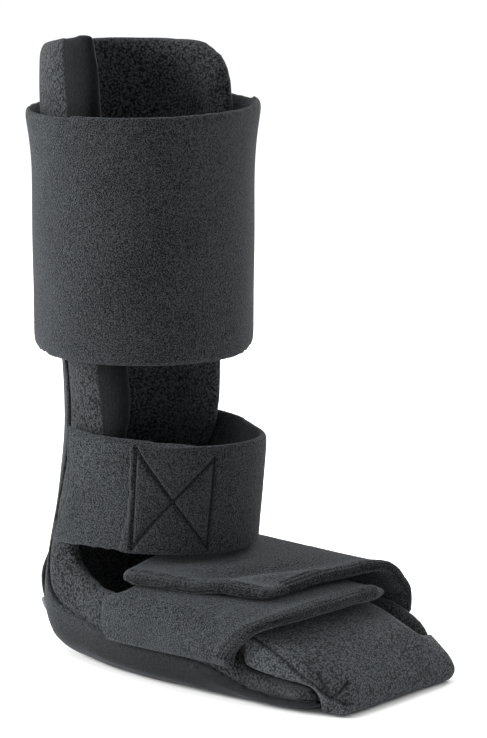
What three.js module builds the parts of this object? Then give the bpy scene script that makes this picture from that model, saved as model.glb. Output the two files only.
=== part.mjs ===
// A resting night splint for the foot and calf, in millimetres, +Z up, toes towards -Y.
// An L-shaped padded trough carries the calf, the heel and the foot. A broad wrap closes round the
// calf, a strap closes round the ankle and two flaps fold over the instep, one on the other.
// The origin lies on the floor, under the middle of the splint's length and width.
import * as THREE from "three";

// The trough
const splintHeight = 403;
const splintLength = 283;
const calfRadius = 64;
const footHalfWidth = 66;
const instepHeight = 57;
const wallThickness = 12;
const coverThickness = 3.5;
const coverTop = 350;
const cornerLift = 13;
const seat = 0.35;

// The calf wrap
const wrapHeight = 162;
const wrapBottom = 205;
const wrapThickness = 6.5;
const wrapEase = 2.5;
const wrapFlare = 5.5;
const wrapTilt = 2;
const wrapSag = 1.6;

// The ankle strap
const strapThickness = 6;
const strapHeight = 78;
const strapBottom = 80;
const strapReach = 80;
const strapLean = 7;
const strapTilt = 3.5;
const strapEase = 0.3;
const tabTurn = 67;
const tabLean = 4.5;

// The instep flaps
const flapThickness = 6;
const flapCrown = 63.7;
const flapFall = 19;
const flapPuff = 9;
const flapSeam = 25;

// The toe wedge
const wedgeHeight = 48;
const wedgeLip = 17;
const lipShift = 4;

// The webbing behind the heel
const webbingHalfWidth = 29;
const webbingThickness = 2;
const webbingBow = 8;
const webbingTop = 66;
const webbingBottom = 14;
const slideHeight = 9;
const slideThickness = 3;

const rad = THREE.MathUtils.degToRad;
const lerp = THREE.MathUtils.lerp;
const clamp = THREE.MathUtils.clamp;
const point = (x, y, z) => new THREE.Vector3(x, y, z);

// Rows of numbers become objects with named columns.
function table(columns, rows) {
  return rows.map((row) => Object.fromEntries(columns.map((name, i) => [name, row[i]])));
}

// The value of a column between two rows, along another column that only grows.
function between(rows, along, at, column) {
  const next = clamp(rows.findIndex((row) => row[along] >= at), 0, rows.length - 1);
  const high = at > rows.at(-1)[along] ? rows.length - 1 : next;
  const low = Math.max(high - 1, 0);
  const span = rows[high][along] - rows[low][along];
  const t = span > 0 ? clamp((at - rows[low][along]) / span, 0, 1) : 0;
  return lerp(rows[low][column], rows[high][column], t);
}

// Sections of the shaft: height as a share of splintHeight, axis and back as shares of splintLength,
// half width as a share of calfRadius, the angle from the front at which each wall ends, the share of
// the wall that the outer cover takes, and how far the far wall is cut back at its rounded corner.
const shaftTable = table(
  ["up", "axis", "half", "near", "far", "cover", "cut", "lift", "pinch"],
  [
    [1.0, 0.233, 1.0, 75, 52, 0.5, 0.28, 1, 1],
    [0.994, 0.233, 1.0, 73, 52, 0.5, 0.22, 1, 0.3],
    [0.976, 0.233, 1.0, 72, 51, 0.5, 0.11, 0.85, 0],
    [0.95, 0.232, 1.0, 71.5, 50, 0.5, 0.04, 0.6, 0],
    [0.9, 0.23, 1.0, 71, 50, 0.5, 0, 0.2, 0],
    [0.78, 0.226, 0.99, 69, 50, 0.5, 0, 0, 0],
    [0.68, 0.224, 0.945, 66, 50, 0.5, 0, 0, 0],
    [0.57, 0.221, 0.875, 61, 49, 0.5, 0, 0, 0],
    [0.44, 0.219, 0.82, 56, 48, 0.52, 0, 0, 0],
    [0.38, 0.219, 0.82, 57, 52, 0.53, 0, 0, 0],
  ]
);

// Sections round the heel: back line and rim as shares of splintLength and of splintHeight, half width
// and corner radius as shares of calfRadius, and the inward curl that the shaft's round leaves.
const heelTable = table(
  ["backY", "backZ", "rimY", "rimZ", "half", "corner", "curl", "cover"],
  [
    [0.412, 0.312, 0.155, 0.332, 0.822, 0.8, 0.7, 0.54],
    [0.422, 0.246, 0.219, 0.27, 0.83, 0.77, 0.35, 0.57],
    [0.43, 0.182, 0.265, 0.224, 0.845, 0.71, 0.1, 0.62],
    [0.43, 0.115, 0.279, 0.194, 0.86, 0.63, 0, 0.67],
    [0.416, 0.056, 0.272, 0.176, 0.87, 0.54, 0, 0.72],
    [0.378, 0.017, 0.251, 0.163, 0.885, 0.45, 0, 0.75],
    [0.318, 0.002, 0.226, 0.154, 0.91, 0.38, 0, 0.78],
    [0.247, 0, 0.198, 0.146, 0.94, 0.34, 0, 0.8],
  ]
);

// Sections of the foot: place along splintLength, height of the underside and of the rim as shares of
// instepHeight, half width and shift to the far side as shares of footHalfWidth, corner radius as a
// share of instepHeight. The far wall stays high beside the toe wedge, and its cover ends lower.
const footTable = table(
  ["along", "under", "rim", "farRim", "half", "shift", "corner", "cover", "farCover", "pinch"],
  [
    [0.16, 0, 1.0, 1.0, 0.975, 0, 0.32, 0.8, 0.8, 0],
    [0.06, 0, 0.98, 0.98, 1.0, 0, 0.29, 0.79, 0.79, 0],
    [-0.06, 0, 0.97, 0.97, 1.0, 0, 0.28, 0.79, 0.79, 0],
    [-0.15, 0, 0.92, 0.93, 1.0, 0.01, 0.28, 0.78, 0.78, 0],
    [-0.205, 0, 0.86, 0.9, 1.0, 0.02, 0.28, 0.78, 0.77, 0],
    [-0.26, 0, 0.44, 0.88, 0.995, 0.03, 0.25, 0.92, 0.76, 0],
    [-0.32, 0, 0.39, 0.82, 0.98, 0.04, 0.23, 0.93, 0.76, 0],
    [-0.38, 0.01, 0.35, 0.72, 0.97, 0.065, 0.2, 0.94, 0.78, 0],
    [-0.43, 0.05, 0.34, 0.58, 0.955, 0.085, 0.17, 0.95, 0.84, 0.2],
    [-0.448, 0.1, 0.35, 0.51, 0.945, 0.09, 0.15, 0.95, 0.88, 0.9],
  ]
);

const radiusOf = (row) => row.half * calfRadius;

function shaftSection(row) {
  const radius = radiusOf(row);
  const axis = row.axis * splintLength;
  const z = row.up * splintHeight;
  return {
    back: point(0, axis + radius, z),
    rim: point(0, axis - radius * Math.cos(rad(row.near)), z),
    farRim: point(0, axis - radius * Math.cos(rad(row.far)), z),
    half: radius,
    corner: radius,
    curl: 1,
    cover: row.cover,
    farCover: row.cover,
    cut: row.cut,
    lift: row.lift,
    pinch: row.pinch,
  };
}

function heelSection(row) {
  return {
    back: point(0, row.backY * splintLength, row.backZ * splintHeight),
    rim: point(0, row.rimY * splintLength, row.rimZ * splintHeight),
    half: radiusOf(row),
    corner: row.corner * calfRadius,
    curl: row.curl,
    cover: row.cover,
    farCover: row.cover,
    cut: 0,
    lift: 0,
    pinch: 0,
  };
}

function footSection(row) {
  const y = row.along * splintLength;
  const x = row.shift * footHalfWidth;
  return {
    back: point(x, y, row.under * instepHeight),
    rim: point(x, y, row.rim * instepHeight),
    farRim: point(x, y, row.farRim * instepHeight),
    half: row.half * footHalfWidth,
    corner: row.corner * instepHeight,
    curl: 0,
    cover: row.cover,
    farCover: row.farCover,
    cut: 0,
    lift: 0,
    pinch: row.pinch,
  };
}

// A point of the shaft between two rows of its table, for the height where the cover ends.
function shaftAt(z) {
  const up = z / splintHeight;
  const rising = [...shaftTable].reverse();
  const columns = Object.keys(shaftTable[0]);
  const row = Object.fromEntries(columns.map((name) => [name, between(rising, "up", up, name)]));
  row.up = up;
  return row;
}

const sections = {
  shaft: shaftTable.map(shaftSection),
  heel: heelTable.map(heelSection),
  foot: footTable.map(footSection),
};

// The outer line of half a section: flat, corner, then a side that may curl inwards. Returns the
// distance across, the distance from the back line and the outward direction, at a share of its length.
function wallLine(section, share, side) {
  const { half, corner, curl } = section;
  const rim = side > 0 && section.farRim ? section.farRim : section.rim;
  const cut = side > 0 ? section.cut : 0;
  const depth = rim.distanceTo(section.back) - wallThickness / 2;
  const flat = half - corner;
  const turn = depth < corner ? Math.acos(1 - depth / corner) : Math.PI / 2;
  const rest = Math.max(depth - corner, 0);
  const lip = curl > 0 ? Math.asin(Math.min((rest * curl) / half, 1)) : 0;
  const straight = curl > 0 ? (half / curl) * lip : rest;
  const length = (flat + corner * turn + straight) * (1 - cut);
  const s = share * length;
  if (s <= flat) return { across: s, depth: 0, nx: 0, nd: -1 };
  if (s <= flat + corner * turn) {
    const a = (s - flat) / corner;
    return {
      across: flat + corner * Math.sin(a),
      depth: corner * (1 - Math.cos(a)),
      nx: Math.sin(a),
      nd: -Math.cos(a),
    };
  }
  const beyond = s - flat - corner * turn;
  if (curl === 0) return { across: half, depth: corner + beyond, nx: 1, nd: 0 };
  const bend = half / curl;
  const a = beyond / bend;
  return {
    across: half - bend * (1 - Math.cos(a)),
    depth: corner + bend * Math.sin(a),
    nx: Math.cos(a),
    nd: Math.sin(a),
  };
}

// A point of the trough's wall: side is -1 on the near side and 1 on the far side, inset is the depth
// below the outer surface, and past runs on over the wall's rolled edge.
function wallPoint(section, side, share, inset, past = 0) {
  const line = wallLine(section, share, side);
  const across = side * (line.across - line.nx * inset - line.nd * past);
  const depth = line.depth - line.nd * inset + line.nx * past;
  const inward = section.rim.clone().sub(section.back).normalize();
  const lift = side < 0 ? section.lift * cornerLift * share ** 2 : 0;
  return point(across, 0, lift).add(section.back).addScaledVector(inward, depth);
}

const shares = (count, from, to) => Array.from({ length: count }, (_, i) => lerp(from, to, i / (count - 1)));
// As shares, with one more step close to each end, where the padding's edge is rounded.
const endStep = 0.016;
function closeShares(count) {
  const inner = shares(count, 0, 1).slice(1, -1);
  return [0, endStep, ...inner, 1 - endStep, 1];
}
const coverSteps = 9;
const plushSteps = 7;
const edgeSteps = 3;
const endRounding = 2.5;
const edgeClearance = 0.0035;

const covered = (section, side) => (side > 0 ? section.farCover : section.cover);

function halfLoop(section, side, stepInset) {
  const cover = covered(section, side);
  const pinch = section.pinch * endRounding;
  const middle = wallThickness / 2;
  const roll = middle - pinch;
  const outer = [
    ...shares(coverSteps, 0, cover).map((s) => wallPoint(section, side, s, Math.max(stepInset, pinch))),
    ...shares(plushSteps, cover, 1).map((s) => wallPoint(section, side, s, pinch)),
  ];
  const edge = shares(edgeSteps + 2, 0, 180)
    .slice(1, -1)
    .map((a) => {
      const inset = middle - roll * Math.cos(rad(a));
      return wallPoint(section, side, 1, inset, roll * Math.sin(rad(a)));
    });
  const inner = shares(coverSteps + plushSteps, 1, 0).map((s) => {
    return wallPoint(section, side, s, wallThickness - pinch);
  });
  return [...outer, ...edge, ...inner];
}

// The plush lining is one ring of points for each section, the far half and then the near half back.
function linerLoop(section, stepInset) {
  const far = halfLoop(section, 1, stepInset);
  const near = halfLoop(section, -1, stepInset).reverse();
  return [...far.slice(0, -1), ...near.slice(0, -1)];
}

function coverLoop(section) {
  const pinch = section.pinch * endRounding;
  const line = (side, inset) => {
    const cover = covered(section, side);
    return shares(coverSteps, 0, cover).map((s) => {
      return wallPoint(section, side, s === cover ? s - edgeClearance : s, inset);
    });
  };
  const out = [...line(-1, pinch).reverse(), ...line(1, pinch).slice(1)];
  const back = [...line(-1, coverThickness).reverse(), ...line(1, coverThickness).slice(1)];
  return [...back, ...out.reverse()];
}

// A closed body from rings of points, each joined to the next, with both ends closed or joined.
function loft(rings, joined = false) {
  const count = rings[0].length;
  const positions = rings.flat().flatMap((p) => [p.x, p.y, p.z]);
  const faces = [];
  const last = joined ? rings.length : rings.length - 1;
  for (let i = 0; i < last; i++) {
    for (let k = 0; k < count; k++) {
      const next = ((i + 1) % rings.length) * count;
      const a = i * count + k;
      const b = i * count + ((k + 1) % count);
      faces.push(a, b, next + k, b, next + ((k + 1) % count), next + k);
    }
  }
  if (!joined) {
    const start = rings[0];
    const end = rings.at(-1);
    faces.push(...capFaces(start, 0, true), ...capFaces(end, (rings.length - 1) * count, false));
  }
  const geometry = new THREE.BufferGeometry();
  geometry.setAttribute("position", new THREE.Float32BufferAttribute(positions, 3));
  geometry.setIndex(faces);
  return pointOutwards(geometry);
}

// Triangles over a ring's outline, in the plane that fits it best.
function capFaces(ring, first, flip) {
  const normal = point(0, 0, 0);
  ring.forEach((p, i) => normal.add(p.clone().cross(ring[(i + 1) % ring.length])));
  normal.normalize();
  const u = Math.abs(normal.x) > 0.9 ? point(0, 1, 0) : point(1, 0, 0);
  u.addScaledVector(normal, -u.dot(normal)).normalize();
  const v = normal.clone().cross(u);
  const outline = ring.map((p) => new THREE.Vector2(p.dot(u), p.dot(v)));
  const triangles = THREE.ShapeUtils.triangulateShape(outline, []);
  return triangles.flatMap(([a, b, c]) => (flip ? [first + a, first + c, first + b] : [first + a, first + b, first + c]));
}

function pointOutwards(geometry) {
  const index = geometry.index.array;
  const position = geometry.attributes.position;
  const corner = (i) => new THREE.Vector3().fromBufferAttribute(position, index[i]);
  let volume = 0;
  for (let i = 0; i < index.length; i += 3) volume += corner(i).dot(corner(i + 1).cross(corner(i + 2)));
  if (volume < 0) {
    for (let i = 0; i < index.length; i += 3) [index[i + 1], index[i + 2]] = [index[i + 2], index[i + 1]];
  }
  return geometry;
}

function bootCover() {
  const shaft = [shaftSection(shaftAt(coverTop)), ...sections.shaft.filter((s) => s.back.z < coverTop - seat)];
  return loft([...shaft, ...sections.heel, ...sections.foot].map(coverLoop));
}

function plushLiner() {
  const step = coverThickness + seat;
  const above = sections.shaft.filter((s) => s.back.z > coverTop + seat);
  const below = sections.shaft.filter((s) => s.back.z < coverTop - seat);
  const ledge = shaftSection(shaftAt(coverTop + seat));
  const underLedge = shaftSection(shaftAt(coverTop + seat / 2));
  return loft([
    ...[...above, ledge].map((s) => linerLoop(s, 0)),
    ...[underLedge, ...below, ...sections.heel, ...sections.foot].map((s) => linerLoop(s, step)),
  ]);
}

// The trough's outer outline at one height, as points from the middle of the back to the rim.
const outlineShares = shares(31, 0, 1);
function troughOutline(z, side) {
  const rows = [...sections.shaft, ...sections.heel, ...sections.foot];
  const found = [];
  for (const share of outlineShares) {
    for (let i = 0; i < rows.length - 1; i++) {
      const high = wallPoint(rows[i], side, share, 0);
      const low = wallPoint(rows[i + 1], side, share, 0);
      if (high.z >= z && low.z < z) {
        found.push(high.lerp(low, (high.z - z) / (high.z - low.z)));
        break;
      }
    }
  }
  return found;
}

const shaftAxis = (z) => shaftAt(z).axis * splintLength;
const shaftBack = (z) => shaftAxis(z) + shaftAt(z).half * calfRadius;

// The wrap's own line from its lower to its upper edge: how far it stands out and how thick it is.
const wrapTable = table(
  ["up", "flare", "thick"],
  [
    [0, 0.1, 0.5],
    [0.02, 0.06, 0.9],
    [0.08, 0, 1],
    [0.45, 0, 1],
    [0.72, 0.04, 1],
    [0.86, 0.35, 1],
    [0.96, 0.8, 1],
    [0.99, 0.95, 0.9],
    [1, 1, 0.5],
  ]
);

const wrapSteps = 48;
const wrapSagAt = 50;
const wrapTiltAt = -40;

function calfWrap() {
  const heights = wrapTable.map((row) => wrapBottom + row.up * wrapHeight);
  const seats = wrapTable.map((row, i) => shaftBack(heights[i]) - row.flare * wrapFlare);
  const seatHeight = heights[seats.indexOf(Math.max(...seats))];
  const axis = shaftAxis(seatHeight) - wrapEase;
  const inner = Math.max(...seats) + seat - axis;
  const rings = shares(wrapSteps + 1, -180, 180).slice(0, -1).map((turn) => {
    const face = (row, across) => {
      const middle = inner + row.flare * wrapFlare + wrapThickness / 2;
      const r = middle + (across * row.thick * wrapThickness) / 2;
      const tilt = lerp(-wrapSag * Math.cos(rad(turn - wrapSagAt)), wrapTilt * Math.cos(rad(turn - wrapTiltAt)), row.up);
      const z = wrapBottom + row.up * wrapHeight + tilt;
      return point(-r * Math.sin(rad(turn)), axis - r * Math.cos(rad(turn)), z);
    };
    return [...wrapTable.map((row) => face(row, 1)), ...[...wrapTable].reverse().map((row) => face(row, -1))];
  });
  return loft(rings, true);
}

const strapFront = shaftAxis(strapBottom + strapHeight) - strapReach;

// The inner face of the ankle strap at one height: it lies on the trough behind, and bows out in front.
// The turn is measured from the front, positive towards the near side.
function strapFace(turn, z, offset) {
  const side = turn > 0 ? -1 : 1;
  const outline = troughOutline(z, side);
  const width = Math.max(...outline.map((p) => Math.abs(p.x)));
  const widest = outline.findLast((p) => Math.abs(p.x) > width - strapEase);
  const out = seat + strapEase + offset;
  const across = width + out;
  const front = strapFront + strapLean * (1 - (z - strapBottom) / strapHeight) - offset;
  const a = rad(Math.abs(turn));
  if (Math.abs(turn) <= 90) {
    return point(side * across * Math.sin(a), lerp(widest.y, front, Math.cos(a)), z);
  }
  const turned = (p) => 90 + THREE.MathUtils.radToDeg(Math.atan2(p.y - widest.y, Math.abs(p.x)));
  const rows = outline.map((p) => ({ turn: turned(p), x: Math.abs(p.x), y: p.y }));
  const behind = rows.filter((row) => row.y >= widest.y).reverse();
  const x = between(behind, "turn", Math.abs(turn), "x");
  const y = between(behind, "turn", Math.abs(turn), "y");
  const away = new THREE.Vector2(x, y - widest.y).setLength(out);
  return point(side * (x + away.x), y + away.y, z);
}

const strapEdges = table(
  ["up", "round"],
  [
    [0, 0.35],
    [0.03, 0],
    [0.16, 0],
    [0.32, 0],
    [0.48, 0],
    [0.7, 0],
    [0.97, 0],
    [1, 0.35],
  ]
);

const endRound = 0.3;
const sideRound = 0.35;

// One piece of the ankle strap between two turns, with a layer that may rise over the other piece.
function strapPiece(steps, turnAt, layerAt) {
  const rings = closeShares(steps).map((way) => {
    const end = way === 0 || way === 1 ? endRound : 0;
    const face = (row, outer) => {
      const turn = turnAt(way, row.up);
      const z = strapBottom + row.up * (strapHeight - strapTilt * Math.cos(rad(turn)));
      const round = Math.max(row.round, end) * strapThickness;
      const offset = layerAt(turn) * (strapThickness + seat) + (outer ? strapThickness - round : round);
      return strapFace(turn, z, offset);
    };
    return [...strapEdges.map((row) => face(row, true)), ...[...strapEdges].reverse().map((row) => face(row, false))];
  });
  return loft(rings);
}

const strapSewn = 112;
const sewnLean = 10;
const strapInnerEnd = -16;
const strapRise = 30;
const layerClearance = 4;

function ankleStrapNear() {
  const turnAt = (way, up) => lerp(strapSewn - sewnLean * (1 - up), strapInnerEnd, way);
  return strapPiece(20, turnAt, () => 0);
}

function ankleStrapFar() {
  const turnAt = (way, up) => lerp(-strapSewn, tabTurn - tabLean * (1 - up), way);
  const over = (turn) => THREE.MathUtils.smoothstep(turn, strapInnerEnd - strapRise, strapInnerEnd - layerClearance);
  return strapPiece(25, turnAt, over);
}

// The instep flaps lie on one arch over the foot, from the far wall (turn 0) to the near wall (180).
const footAt = (y, column) => {
  const rows = [...footTable].reverse();
  return between(rows, "along", y / splintLength, column);
};

const softBend = 0.8;
const squareBend = 0.58;
const instepFront = -0.205;
const turnDown = 40;

function archPoint(turn, y, offset, rise, bend) {
  const half = footAt(y, "half") * footHalfWidth + seat;
  const middle = footAt(y, "shift") * footHalfWidth;
  const wall = footAt(Math.max(y, instepFront * splintLength), "rim") * instepHeight;
  const spring = wall - wallThickness / 2 + 1;
  const crown = flapCrown + (flapFall * y) / splintLength;
  const side = turn < 90 ? 1 : -1;
  const a = side > 0 ? turn : 180 - turn;
  if (a <= 0) return point(middle + side * (half + offset), y, spring + (a / turnDown) * (spring - flapSeam));
  const c = Math.cos(rad(a)) ** bend;
  const s = Math.sin(rad(a)) ** bend;
  return point(middle + side * (half + offset) * c, y, spring + (crown + offset + rise - spring) * s);
}

// Where each flap's back and front edges run, as shares of splintLength, along its way over the foot.
const nearFlapTable = table(
  ["way", "back", "front", "puff"],
  [
    [0, 0.115, -0.255, 0],
    [0.05, 0.134, -0.25, 0],
    [0.16, 0.138, -0.262, 0],
    [0.25, 0.135, -0.285, 0.1],
    [0.3, 0.122, -0.298, 0.15],
    [0.36, 0.085, -0.312, 0.2],
    [0.46, 0.06, -0.335, 0.1],
    [0.6, 0.055, -0.365, 0],
    [0.8, 0.05, -0.385, 0],
    [1, 0.04, -0.385, 0],
  ]
);
const farFlapTable = table(
  ["way", "back", "front", "puff"],
  [
    [0, 0.07, -0.35, 0],
    [0.2, 0.075, -0.368, 0.2],
    [0.35, 0.08, -0.372, 0.7],
    [0.5, 0.085, -0.36, 1],
    [0.62, 0.088, -0.34, 0.8],
    [0.78, 0.09, -0.305, 0.15],
    [0.95, 0.088, -0.28, 0.1],
    [1, 0.06, -0.262, 0.1],
  ]
);

const puffBack = 0.3;

function flap(rows, turnAt, layerAt, bendAt) {
  const across = closeShares(7);
  const rings = closeShares(22).map((way) => {
    const end = way === 0 || way === 1 ? endRound : 0;
    const face = (v, outer, edge) => {
      const y = lerp(between(rows, "way", way, "back"), between(rows, "way", way, "front"), v) * splintLength;
      const turn = turnAt(way, v);
      const round = Math.max(edge, end) * flapThickness;
      const puff = flapPuff * between(rows, "way", way, "puff") * lerp(puffBack, 1, v);
      const layer = layerAt(turn) * (flapThickness + seat);
      return archPoint(turn, y, layer + (outer ? flapThickness - round : round), puff, bendAt(turn));
    };
    const line = (outer) => across.map((v) => face(v, outer, v === 0 || v === 1 ? sideRound : 0));
    return [...line(true), ...line(false).reverse()];
  });
  return loft(rings);
}

const nearFlapSeam = 220;
const nearFlapEnd = 62;
const farFlapSeam = -40;
const farFlapRise = 36;
const farFlapEnd = { back: 150, front: 122 };
const bendChange = { from: 45, to: 105 };
const footFlapNear = () => flap(nearFlapTable, (way) => lerp(nearFlapSeam, nearFlapEnd, way), () => 0, () => softBend);
function footFlapFar() {
  const over = (turn) => THREE.MathUtils.smoothstep(turn, nearFlapEnd - farFlapRise, nearFlapEnd - layerClearance);
  const bend = (turn) => lerp(squareBend, softBend, THREE.MathUtils.smoothstep(turn, bendChange.from, bendChange.to));
  return flap(farFlapTable, (way, v) => lerp(farFlapSeam, lerp(farFlapEnd.back, farFlapEnd.front, v), way), over, bend);
}

// Sections of the toe wedge: place along splintLength, height of the top's edge and of its middle and
// of the underside as shares of wedgeHeight, half width as a share of footHalfWidth. A row whose
// underside is null lies in the trough and takes its underside from it.
const wedgeTable = table(
  ["along", "edge", "crown", "under", "half"],
  [
    [-0.262, 1.03, 1.045, null, 0.993],
    [-0.31, 0.965, 0.99, null, 0.98],
    [-0.36, 0.87, 0.9, null, 0.97],
    [-0.4, 0.77, 0.8, null, 0.96],
    [-0.442, 0.645, 0.67, null, 0.955],
  ]
);

// Sections of the lip that hangs down in front of the sole: how far out of wedgeLip, then as above.
const lipTable = table(
  ["out", "edge", "crown", "under", "half"],
  [
    [0.03, 0.63, 0.655, 0.06, 0.954],
    [0.12, 0.6, 0.625, 0.01, 0.953],
    [0.5, 0.48, 0.5, 0, 0.95],
    [0.85, 0.34, 0.36, 0.01, 0.935],
    [0.97, 0.25, 0.27, 0.06, 0.92],
    [1, 0.18, 0.19, 0.1, 0.905],
  ]
);
const toeEnd = footTable.at(-1).along * splintLength;
const wedgeRound = 3;

// One side of a wedge ring. In the trough the near side lies over the near wall's rim, and the far side
// lies inside the far wall.
function wedgeSide(row, y, side) {
  const half = row.half * footHalfWidth;
  const edge = row.edge * wedgeHeight;
  const crown = row.crown * wedgeHeight;
  const inTrough = row.under === null;
  const rim = inTrough ? footAt(y, "rim") * instepHeight + seat : row.under * wedgeHeight;
  const floor = inTrough ? footAt(y, "under") * instepHeight + wallThickness + seat : rim;
  const inside = half - wallThickness - seat;
  const round = Math.min(wedgeRound, (edge - rim) / 3);
  const foot = [inside - footAt(y, "corner") * instepHeight * 0.5, floor];
  const low = [inside - seat, lerp(floor, rim, 0.4)];
  const over = [[inside, rim], [half - round, rim], [half, rim + round], [half, edge - round]];
  const tucked = [0.25, 0.5, 0.75, 1].map((share) => [inside - seat, lerp(low[1], edge - round, share)]);
  const wall = inTrough && side > 0 ? tucked : over;
  const reach = wall.at(-1)[0];
  return [
    foot,
    low,
    ...wall,
    [reach - round, edge],
    [reach * 0.66, lerp(edge, crown, 0.6)],
    [reach * 0.33, lerp(edge, crown, 0.92)],
  ];
}

function wedgeRing(row, y, shift = 0) {
  const middle = footAt(y, "shift") * footHalfWidth + shift;
  const line = (side) => wedgeSide(row, y, side).map(([x, z]) => point(middle + side * x, y, z));
  return [...line(1), ...line(-1).reverse()];
}

function toeWedge() {
  const inTrough = wedgeTable.map((row) => wedgeRing(row, row.along * splintLength));
  inTrough.push(wedgeRing(wedgeTable.at(-1), toeEnd - seat));
  const lip = lipTable.map((row) => wedgeRing(row, toeEnd - seat - row.out * wedgeLip, row.out * lipShift));
  return loft([...inTrough, ...lip]);
}

// Webbing that stands off the back of the heel, sewn on at its two ends.
function webbingFace(across, way, offset) {
  const z = lerp(webbingBottom, webbingTop, way);
  const side = across < 0 ? -1 : 1;
  const outline = troughOutline(z, side).map((p) => ({ x: Math.abs(p.x), y: p.y }));
  const y = between(outline, "x", Math.abs(across), "y");
  return point(across, y + seat + webbingBow * Math.sin(Math.PI * way) + offset, z);
}

function heelWebbing() {
  const rings = shares(11, 0, 1).map((way) => {
    const line = (offset) => shares(9, -webbingHalfWidth, webbingHalfWidth).map((x) => webbingFace(x, way, offset));
    return [...line(webbingThickness), ...line(0).reverse()];
  });
  return loft(rings);
}

const slideUp = 0.12;

function heelSlide() {
  const rings = shares(4, slideUp, slideUp + slideHeight / (webbingTop - webbingBottom)).map((way) => {
    const line = (offset) => shares(9, -webbingHalfWidth, webbingHalfWidth).map((x) => webbingFace(x, way, offset));
    return [...line(webbingThickness + seat + slideThickness), ...line(webbingThickness + seat).reverse()];
  });
  return loft(rings);
}

const group = new THREE.Group();
function add(name, geometry, color, roughness) {
  const mesh = new THREE.Mesh(geometry, new THREE.MeshStandardMaterial({ color, roughness, metalness: 0 }));
  mesh.name = name;
  group.add(mesh);
}

add("boot_cover", bootCover(), 0x45484b, 0.95);
add("plush_liner", plushLiner(), 0x3a3d40, 1);
add("calf_wrap", calfWrap(), 0x36393c, 0.95);
add("ankle_strap_near", ankleStrapNear(), 0x45484b, 0.95);
add("ankle_strap_far", ankleStrapFar(), 0x36393c, 0.95);
add("foot_flap_near", footFlapNear(), 0x45484b, 0.95);
add("foot_flap_far", footFlapFar(), 0x3d4043, 0.95);
add("toe_wedge", toeWedge(), 0x3d4043, 1);
add("heel_webbing", heelWebbing(), 0x141516, 0.8);
add("heel_slide", heelSlide(), 0x55585b, 0.5);

// The origin goes to the floor, under the middle of the box round all the pieces.
const box = new THREE.Box3().setFromObject(group);
const middle = box.getCenter(point(0, 0, 0));
group.children.forEach((mesh) => mesh.geometry.translate(-middle.x, -middle.y, -box.min.z));
export default group;
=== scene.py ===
"""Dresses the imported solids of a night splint: padded cloth, plush, seams, stitches, floor and light."""
import logging
import math
from dataclasses import dataclass, field
from enum import Enum
from typing import Any, Callable, Sequence

import bmesh
import bpy
import numpy as np
from mathutils import Matrix, Vector, noise
from mathutils.bvhtree import BVHTree
from mathutils.kdtree import KDTree


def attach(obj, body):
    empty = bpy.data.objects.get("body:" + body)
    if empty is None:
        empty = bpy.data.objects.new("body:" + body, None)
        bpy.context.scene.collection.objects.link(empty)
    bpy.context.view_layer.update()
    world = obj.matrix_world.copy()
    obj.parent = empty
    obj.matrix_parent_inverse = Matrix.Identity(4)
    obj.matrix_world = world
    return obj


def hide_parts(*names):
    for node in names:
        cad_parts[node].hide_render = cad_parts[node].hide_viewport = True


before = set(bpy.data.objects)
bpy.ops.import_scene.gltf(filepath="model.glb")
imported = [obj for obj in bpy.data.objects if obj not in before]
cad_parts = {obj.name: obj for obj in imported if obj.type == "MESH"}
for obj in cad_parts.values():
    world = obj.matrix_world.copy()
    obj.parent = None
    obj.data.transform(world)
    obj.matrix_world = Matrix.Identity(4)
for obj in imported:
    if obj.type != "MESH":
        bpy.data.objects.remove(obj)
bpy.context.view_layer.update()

BODY = "root"
MM = 0.001
# The mesh attribute that holds the painted shade of sewn grooves and folds.
CREASE_SHADE = "crease"
LOG = logging.getLogger("splint")
Colour = tuple[float, float, float]
Push = Callable[[Vector, Vector], Vector]


class Slot(Enum):
    """The record's material slots."""

    CLOTH = "smooth_cloth"
    PLUSH = "plush"
    WEBBING = "webbing"
    SLIDE = "slide"


# Materials


class Value:
    """A number socket of a shader, on which Python's arithmetic adds Math nodes."""

    def __init__(self, shader: "Shader", socket: bpy.types.NodeSocket) -> None:
        """Keeps the shader that the socket belongs to."""
        self.shader = shader
        self.socket = socket

    def _math(self, operation: str, *operands: Any, clamp: bool = False) -> "Value":
        """Adds one Math node.

        Args:
            operation: Blender's name of the operation.
            operands: Values or numbers, in the order of the node's sockets.
            clamp: Whether the result is kept from 0 to 1.

        Returns:
            The node's result.
        """
        node = self.shader.node(
            "ShaderNodeMath",
            {"operation": operation, "use_clamp": clamp},
            {i: operand for i, operand in enumerate(operands)},
        )
        return Value(self.shader, node.outputs[0])

    def __add__(self, other: Any) -> "Value":
        """Adds a value or a number."""
        return self._math("ADD", self, other)

    __radd__ = __add__

    def __sub__(self, other: Any) -> "Value":
        """Subtracts a value or a number."""
        return self._math("SUBTRACT", self, other)

    def __rsub__(self, other: Any) -> "Value":
        """Is subtracted from a value or a number."""
        return self._math("SUBTRACT", other, self)

    def __mul__(self, other: Any) -> "Value":
        """Multiplies by a value or a number."""
        return self._math("MULTIPLY", self, other)

    __rmul__ = __mul__

    def sine(self) -> "Value":
        """The sine of the value, in radians."""
        return self._math("SINE", self)

    def angle_from(self, other: Any) -> "Value":
        """The angle whose tangent is this value over the other."""
        return self._math("ARCTAN2", self, other)

    def clamped(self) -> "Value":
        """The value kept from 0 to 1."""
        return self._math("ADD", self, 0.0, clamp=True)

    def rise(self, low: float, high: float) -> "Value":
        """A smooth step from 0 at low to 1 at high.

        Args:
            low: Where the step starts.
            high: Where the step ends.

        Returns:
            The step's value.
        """
        node = self.shader.node(
            "ShaderNodeMapRange",
            {"interpolation_type": "SMOOTHSTEP"},
            {"Value": self, "From Min": low, "From Max": high},
        )
        return Value(self.shader, node.outputs["Result"])


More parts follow.
